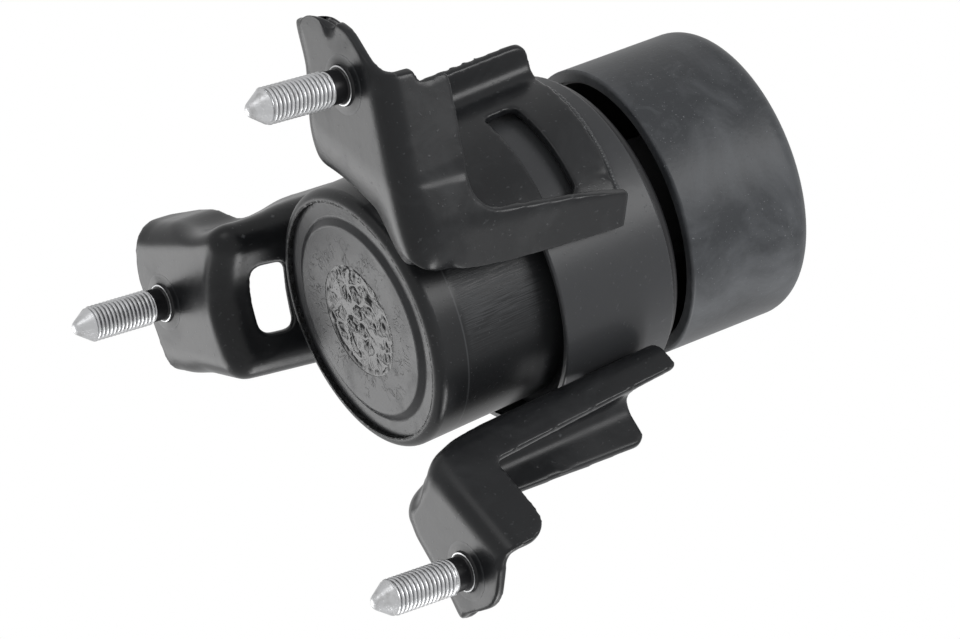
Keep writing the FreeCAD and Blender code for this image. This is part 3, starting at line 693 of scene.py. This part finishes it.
tip = [(0, TIP), (0.7, TIP + 0.05), (1.3, TIP + 0.25), (1.8, TIP + 0.65), (2.2, TIP + 1.2)]
shank = [(core_radius + 0.35, CONE_END), (core_radius, CONE_END + 0.5), (core_radius, THREAD_END)]
neck = [(NECK_RADIUS, THREAD_END + 0.25), (NECK_RADIUS, COLLAR_LEVEL - 0.35)]
rim = [
    (NECK_RADIUS + 0.3, COLLAR_LEVEL), (RIM_RADIUS - 0.3, COLLAR_LEVEL),
    (RIM_RADIUS, COLLAR_LEVEL + 0.12), (RIM_RADIUS + 0.06, -0.6),
]
skirt = [
    (RIM_RADIUS + 0.3, -0.25), (RIM_RADIUS + 0.9, -0.1), (SKIRT_RADIUS, -0.03),
    (SKIRT_RADIUS, SKIRT_TOP), (COLLAR_RADIUS, SKIRT_TOP), (COLLAR_RADIUS, SHEET),
]
head = [
    (HEAD_RADIUS, SHEET), (HEAD_RADIUS, HEAD_TOP - 0.9), (HEAD_RADIUS - 0.3, HEAD_TOP - 0.3),
    (HEAD_RADIUS - 0.9, HEAD_TOP), (0, HEAD_TOP),
]
stud_outline = tip + shank + neck + rim + skirt + head


def stud_slot(first, second):
    """Zinc on the thread and the collar's rim, black on the neck, leg paint around them."""
    middle_level = (first[1] + second[1]) / 2
    middle_radius = (first[0] + second[0]) / 2
    if middle_level < THREAD_END + 0.2:
        return 0
    if COLLAR_LEVEL < middle_level < COLLAR_LEVEL + 0.1:
        return 0
    return 1 if middle_radius < RIM_RADIUS else 2


print("thread turns:", round((THREAD_END - CONE_END) / PITCH, 1))

# %% [markdown]
# ## The thread
# The thread could be a bump, but its ridges show against the white background, so it is a
# real ridge: Geometry Nodes draws a spiral and sweeps a four-sided section along it. Pitch,
# radius, length and depth are inputs, so the same tree cuts any thread. Every tree here ends
# in the same two nodes, so one helper starts a tree and adds them.

# %% Helpers for Geometry Nodes


def input_ids(group):
    """Identifiers of a node tree's inputs by name."""
    return {item.name: item.identifier for item in group.interface.items_tree
            if item.item_type == "SOCKET" and item.in_out == "INPUT"}


def new_geometry_tree(name, numbers, finish):
    """A Geometry Nodes tree with number inputs that ends in Realize Instances and Set Material."""
    group = bpy.data.node_groups.new(name, "GeometryNodeTree")
    group.interface.new_socket("Geometry", in_out="INPUT", socket_type="NodeSocketGeometry")
    for label, value in numbers:
        kind = "NodeSocketInt" if isinstance(value, int) else "NodeSocketFloat"
        socket = group.interface.new_socket(label, in_out="INPUT", socket_type=kind)
        socket.default_value = value
    group.interface.new_socket("Geometry", in_out="OUTPUT", socket_type="NodeSocketGeometry")
    entry, leave = add(group, "NodeGroupInput"), add(group, "NodeGroupOutput")
    real = add(group, "GeometryNodeRealizeInstances")
    paint = add(group, "GeometryNodeSetMaterial")
    paint.inputs["Material"].default_value = finish
    join(group, real.outputs["Geometry"], paint.inputs["Geometry"])
    join(group, paint.outputs["Geometry"], leave.inputs["Geometry"])
    return group, entry, real


print("tree helpers ready")

# %% Geometry Nodes tree for a thread
thread_sizes = {"Radius": THREAD_RADIUS, "Depth": THREAD_DEPTH, "Pitch": PITCH,
                "Length": THREAD_END - CONE_END - 0.3}
thread_tree, entry, real = new_geometry_tree("thread", thread_sizes.items(), stud_zinc)
spiral = add(thread_tree, "GeometryNodeCurveSpiral")
spiral.inputs["Resolution"].default_value = 48
centre_line = figure(thread_tree, "SUBTRACT", entry.outputs["Radius"], entry.outputs["Depth"])
join(thread_tree, centre_line, spiral.inputs["Start Radius"])
join(thread_tree, centre_line, spiral.inputs["End Radius"])
join(thread_tree, entry.outputs["Length"], spiral.inputs["Height"])
rotations = figure(thread_tree, "DIVIDE", entry.outputs["Length"], entry.outputs["Pitch"])
join(thread_tree, rotations, spiral.inputs["Rotations"])
upright = add(thread_tree, "GeometryNodeSetCurveNormal", mode="Z_UP")
join(thread_tree, spiral.outputs["Curve"], upright.inputs["Curve"])
section = add(thread_tree, "GeometryNodeCurvePrimitiveCircle", mode="RADIUS")
section.inputs["Resolution"].default_value = 4
join(thread_tree, entry.outputs["Depth"], section.inputs["Radius"])
sweep = add(thread_tree, "GeometryNodeCurveToMesh")
sweep.inputs["Fill Caps"].default_value = True
join(thread_tree, upright.outputs["Curve"], sweep.inputs["Curve"])
join(thread_tree, section.outputs["Curve"], sweep.inputs["Profile Curve"])
join(thread_tree, sweep.outputs["Mesh"], real.inputs["Geometry"])
print("tree:", thread_tree.name, list(input_ids(thread_tree)))

# %% [markdown]
# ## From a tree to a piece
# A tree runs as a modifier on a helper object. The result is kept as a plain mesh and the
# helper object goes. The swept ridge and the turned body then become one mesh per stud.

# %% Run a tree and keep its mesh


def grown_mesh(name, tree, values, start=None):
    """Evaluates a tree on an object and returns the result as a plain mesh."""
    host = bpy.data.objects.new(name + "_host", start or bpy.data.meshes.new(name + "_start"))
    bpy.context.scene.collection.objects.link(host)
    modifier = host.modifiers.new("grow", "NODES")
    modifier.node_group = tree
    ids = input_ids(tree)
    for label, value in values.items():
        modifier[ids[label]] = value
    graph = bpy.context.evaluated_depsgraph_get()
    mesh = bpy.data.meshes.new_from_object(host.evaluated_get(graph))
    mesh.name = name
    bpy.data.objects.remove(host)
    return mesh


def merged(name, meshes):
    """One mesh from (mesh, slot) pairs; None keeps a mesh's own slots."""
    shape = bmesh.new()
    for mesh, slot in meshes:
        before = len(shape.faces)
        shape.from_mesh(mesh)
        shape.faces.ensure_lookup_table()
        if slot is not None:
            for face in shape.faces[before:]:
                face.material_index = slot
    result = bpy.data.meshes.new(name)
    shape.to_mesh(result)
    shape.free()
    return result


print("mesh helpers ready")

# %% Make the three studs
STUD_SIDES = 72

for leg, place in stud_axis.items():
    body = lathe("stud_body_" + leg, stud_outline, STUD_SIDES, stud_slot)
    ridge = grown_mesh("thread_" + leg, thread_tree, thread_sizes)
    ridge.materials.clear()
    ridge.transform(Matrix.Translation((0, 0, CONE_END + 0.2)))
    mesh = merged("threaded_stud_" + leg, [(body, None), (ridge, 0)])
    piece = new_piece("threaded_stud_" + leg, mesh, place, [stud_zinc, neck_paint, leg_paint])
    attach(piece, "root")
    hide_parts("stud_" + leg)
print("triangles in a stud:", sum(len(face.vertices) - 2 for face in mesh.polygons))

# %% [markdown]
# ## The crumpled skin
# The rubber skin shows through the plate's round hole, and it is crumpled like foil. Each
# crease is a line where two tilted facets meet. Distance to the nearest random point gives
# such creases, and three sizes of it, bent by noise, give the folds inside folds. Blender's
# noise starts from the clock unless it gets a seed, so a fixed seed keeps the skin the same.

# %% Height of the crumpled skin
FOLDS = ((5.5, 0.8), (2.7, 0.48), (1.4, 0.128))
BEND = 1.6
BEND_FINENESS = 0.3
MIDDLE_FOLD = 0.62
LOWEST_FOLD, HIGHEST_FOLD = -1.6, 0.36
SKIN_SEED = 1
noise.seed_set(SKIN_SEED)


def crumple(x, y):
    """Depth of the skin at a point, in millimetres."""
    spot = Vector((x, y, 0.0))
    bent = spot + BEND * noise.noise_vector(spot * BEND_FINENESS)
    depth = -MIDDLE_FOLD
    for size, share in FOLDS:
        near, _ = noise.voronoi(bent / size)
        depth += share * (near[1] - near[0])
    return max(min(depth, HIGHEST_FOLD), LOWEST_FOLD)


print("fold sizes in mm:", [size for size, _ in FOLDS])

# %% Make the crumpled skin
SKIN_RADIUS = 15.75
SKIN_LEVEL = 13.2
SKIN_RINGS = 74
SKIN_SIDES = 200
CALM_EDGE = 1.6

shape = bmesh.new()
rings = [[shape.verts.new((0, 0, SKIN_LEVEL))]]
for ring in range(1, SKIN_RINGS + 1):
    radius = SKIN_RADIUS * ring / SKIN_RINGS
    calm = min(1.0, (SKIN_RADIUS - radius) / CALM_EDGE)
    row = []
    for i in range(SKIN_SIDES):
        angle = 2 * math.pi * i / SKIN_SIDES
        x, y = radius * math.cos(angle), radius * math.sin(angle)
        row.append(shape.verts.new((x, y, SKIN_LEVEL - calm * crumple(x, y))))
    rings.append(row)
for low, high in zip(rings, rings[1:]):
    for i in range(SKIN_SIDES):
        j = (i + 1) % SKIN_SIDES
        corners = [low[i % len(low)], high[i], high[j], low[j % len(low)]]
        shape.faces.new(list(dict.fromkeys(corners)))
bmesh.ops.reverse_faces(shape, faces=shape.faces)
for face in shape.faces:
    face.smooth = True
mesh = bpy.data.meshes.new("crumpled_skin")
shape.to_mesh(mesh)
shape.free()
skin = new_piece("crumpled_skin", mesh, can_axis, [skin_rubber])
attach(skin, "root")
print("skin faces:", len(mesh.polygons))

# %% [markdown]
# ## The legs
# A leg is pressed from sheet. Its solid has crisp edges and even bends, but a press leaves
# soft edges, creases and small dents. A copy of the solid is merged and rebuilt as an even
# mesh of small squares, which can be pushed and smoothed anywhere.

# %% Rebuild a leg as an even mesh
VOXEL = 0.5
MERGE_GAP = 0.002


def through_modifier(name, mesh, kind, **settings):
    """Runs one modifier on a mesh and returns the result as a plain mesh."""
    host = bpy.data.objects.new(name + "_host", mesh)
    bpy.context.scene.collection.objects.link(host)
    modifier = host.modifiers.new("change", kind)
    for key, value in settings.items():
        setattr(modifier, key, value)
    graph = bpy.context.evaluated_depsgraph_get()
    result = bpy.data.meshes.new_from_object(host.evaluated_get(graph))
    result.name = name
    bpy.data.objects.remove(host)
    return result


def even_copy(name, source):
    """A merged copy of a solid's mesh, rebuilt in small squares, in millimetres."""
    shape = bmesh.new()
    shape.from_mesh(source.data)
    bmesh.ops.remove_doubles(shape, verts=shape.verts, dist=MERGE_GAP * MM)
    mesh = bpy.data.meshes.new(name)
    shape.to_mesh(mesh)
    shape.free()
    mesh.materials.clear()
    result = through_modifier(name, mesh, "REMESH", mode="VOXEL", voxel_size=VOXEL * MM, adaptivity=0.0)
    result.transform(Matrix.Scale(1 / MM, 4))
    return result


print("square in mm:", VOXEL)

# %% [markdown]
# ## Shaping a leg
# Soft pushes shape the even mesh, each with a centre, a reach and a direction, the way a sheet
# metal worker would tap it. The near wall of one leg tapers, so its edges are flattened onto
# curves. A smoothing comes last and softens every edge, and the leg is then held inside the
# box of its solid, because the solid's size is the measured one.

# %% Helpers that move a leg's points


def points_of(mesh):
    """A mesh's points as rows of three numbers."""
    points = np.empty(len(mesh.vertices) * 3)
    mesh.vertices.foreach_get("co", points)
    return points.reshape(-1, 3)


def push(mesh, to_leg, centre, reach, move):
    """Moves the points near a centre, all in the leg's own millimetres."""
    points = points_of(mesh)
    turn = np.array(to_leg.to_3x3())
    local = points @ turn.T + np.array(to_leg.translation)
    apart = np.linalg.norm((local - np.array(centre)) / np.array(reach), axis=1)
    share = np.clip(1 - apart ** 2, 0, 1) ** 2
    points += share[:, None] * (np.array(move) @ turn)
    mesh.vertices.foreach_set("co", points.ravel())


def trim(mesh, to_leg, side_from, side_to, curve, low_edge):
    """Flattens a side wall's edge onto a curve of (z, x) points and counts what moved."""
    points = points_of(mesh)
    turn = np.array(to_leg.to_3x3())
    local = points @ turn.T + np.array(to_leg.translation)
    levels, limits = zip(*curve)
    beyond = np.interp(local[:, 2], levels, limits) - local[:, 0]
    beyond = np.maximum(beyond, 0) if low_edge else np.minimum(beyond, 0)
    share = np.clip((local[:, 1] - side_from) / (side_to - side_from), 0, 1)
    points += (share * beyond)[:, None] * turn[0]
    mesh.vertices.foreach_set("co", points.ravel())
    return int((share * beyond != 0).sum())


def keep_inside(mesh, box):
    """Holds a mesh inside its solid's box, given in metres."""
    low, high = np.array(box[0]) / MM, np.array(box[1]) / MM
    mesh.vertices.foreach_set("co", np.clip(points_of(mesh), low, high).ravel())


print("leg helpers ready")

# %% Where each leg is pushed, as centre, reach and move
PUSHES = {
    "a": [
        ((86, -22, 6), (16, 14, 16), (-0.5, -4.5, 0)),
        ((88, -16, 2), (7, 7, 8), (1.0, -1.0, -1.6)),
        ((91, -9, 1), (5, 4, 6), (-2.0, 0.5, 1.0)),
        ((44, 26, 5), (15, 13, 14), (-6.0, 3.0, -1.0)),
        ((41, 34, 8), (10, 9, 11), (-1.5, 1.0, 0)),
    ],
    "b": [
        ((49, 4, 6), (12, 26, 16), (4.5, 0, 0)),
        ((76, -20, 3), (14, 8, 10), (0.3, -1.5, 0)),
        ((83, -19, 2), (6, 6, 8), (0.6, -0.8, 0)),
        ((60, 25, 12), (17, 9, 20), (0, -3.5, 0)),
        ((54, 26, 10), (4, 6, 9), (0, -2.0, 0)),
        ((88, 16, 8), (8, 9, 14), (1.0, 0.8, 0)),
    ],
    "c": [
        ((48, 8, 3), (12, 11, 14), (4.0, -1.5, 0)),
        ((48, -4, 3), (13, 14, 14), (4.0, 0, 0)),
        ((82, 16, 2), (8, 7, 8), (0.5, 1.0, 0)),
    ],
}

NEAR_WALL = (27.0, 30.0)
NEAR_LOW_EDGE = ((-1, 43.5), (0.6, 42.6), (4.7, 39.6), (9, 38.0), (13.8, 36.7),
                 (23.5, 35.4), (33, 34.9), (44, 35.2), (58, 35.8), (71, 36.6))
NEAR_TOP_EDGE = ((40, 60), (46, 50.2), (58, 48.5), (67.5, 46.8), (70.4, 45.1), (72, 43))
print("pushes per leg:", {leg: len(rows) for leg, rows in PUSHES.items()})

# %% Make the three legs
SMOOTHINGS = 16

for leg, place in leg_axis.items():
    name = "pressed_leg_" + leg
    mesh = even_copy(name, nodes["leg_" + leg])
    to_leg = place.inverted()
    for centre, reach, move in PUSHES[leg]:
        push(mesh, to_leg, centre, reach, move)
    if leg == "a":
        print("flattened:", trim(mesh, to_leg, *NEAR_WALL, NEAR_LOW_EDGE, True),
              trim(mesh, to_leg, *NEAR_WALL, NEAR_TOP_EDGE, False))
    mesh = through_modifier(name, mesh, "SMOOTH", factor=0.5, iterations=SMOOTHINGS)
    keep_inside(mesh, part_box("leg_" + leg))
    for face in mesh.polygons:
        face.use_smooth = True
    piece = new_piece(name, mesh, Matrix.Identity(4), [leg_paint])
    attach(piece, "root")
    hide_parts("leg_" + leg)
    print(name, "faces:", len(mesh.polygons))

# %% [markdown]
# ## The weld beads
# A weld bead is a row of small overlapping puddles. Geometry Nodes lays a round blob at even
# steps along the bead's path, stretches each one a little differently from a fixed seed, and
# makes them real. The path is read from the solid bead that the blobs replace.

# %% Geometry Nodes tree for a bead
BEAD_STEP = 0.95
BLOB_RADIUS = 1.2
FIRST_SEED = 4

bead_tree, entry, real = new_geometry_tree(
    "bead", [("Step", BEAD_STEP), ("Blob", BLOB_RADIUS), ("Seed", FIRST_SEED)], leg_paint)
resample = add(bead_tree, "GeometryNodeResampleCurve", mode="LENGTH")
to_curve = add(bead_tree, "GeometryNodeMeshToCurve")
join(bead_tree, entry.outputs["Geometry"], to_curve.inputs["Mesh"])
join(bead_tree, to_curve.outputs["Curve"], resample.inputs["Curve"])
join(bead_tree, entry.outputs["Step"], resample.inputs["Length"])
blob = add(bead_tree, "GeometryNodeMeshIcoSphere")
blob.inputs["Subdivisions"].default_value = 2
join(bead_tree, entry.outputs["Blob"], blob.inputs["Radius"])
scatter = add(bead_tree, "FunctionNodeRandomValue", data_type="FLOAT_VECTOR")
scatter.inputs["Min"].default_value = (0.7, 0.8, 0.7)
scatter.inputs["Max"].default_value = (1.0, 1.1, 1.05)
join(bead_tree, entry.outputs["Seed"], scatter.inputs["Seed"])
lay = add(bead_tree, "GeometryNodeInstanceOnPoints")
join(bead_tree, resample.outputs["Curve"], lay.inputs["Points"])
join(bead_tree, blob.outputs["Mesh"], lay.inputs["Instance"])
join(bead_tree, scatter.outputs["Value"], lay.inputs["Scale"])
join(bead_tree, lay.outputs["Instances"], real.inputs["Geometry"])
print("tree:", bead_tree.name, list(input_ids(bead_tree)))

# %% The path of a bead
BEAD_POINTS = 40
END_GAP = 0.015


def bead_path(name, source):
    """A line of edges through the middle of a solid bead, in millimetres."""
    to_can = can_axis.inverted()
    spots = [to_can @ (Vector(v.co) / MM) for v in source.data.vertices]
    turns = np.array([math.atan2(p.y, p.x) for p in spots])
    if turns.max() - turns.min() > math.pi:
        turns = np.where(turns < 0, turns + 2 * math.pi, turns)
    levels = np.array([p.z for p in spots])
    radius = float(np.mean([math.hypot(p.x, p.y) for p in spots]))
    fit = np.polyfit(turns, levels, 2)
    along = np.linspace(turns.min() + END_GAP, turns.max() - END_GAP, BEAD_POINTS)
    line = [(radius * math.cos(t), radius * math.sin(t), float(np.polyval(fit, t))) for t in along]
    path = bpy.data.meshes.new(name)
    path.from_pydata(line, [(i, i + 1) for i in range(len(line) - 1)], [])
    return path


print("points on a bead's path:", BEAD_POINTS)

# %% Make the three beads
for seed, leg in enumerate(("a", "b", "c"), start=FIRST_SEED):
    name = "weld_bead_" + leg
    path = bead_path(name + "_path", nodes["weld_" + leg])
    mesh = grown_mesh(name, bead_tree, {"Step": BEAD_STEP, "Blob": BLOB_RADIUS, "Seed": seed}, path)
    mesh.materials.clear()
    for face in mesh.polygons:
        face.use_smooth = True
    piece = new_piece(name, mesh, can_axis, [leg_paint])
    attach(piece, "root")
    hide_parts("weld_" + leg)
    print(name, "faces:", len(mesh.polygons))
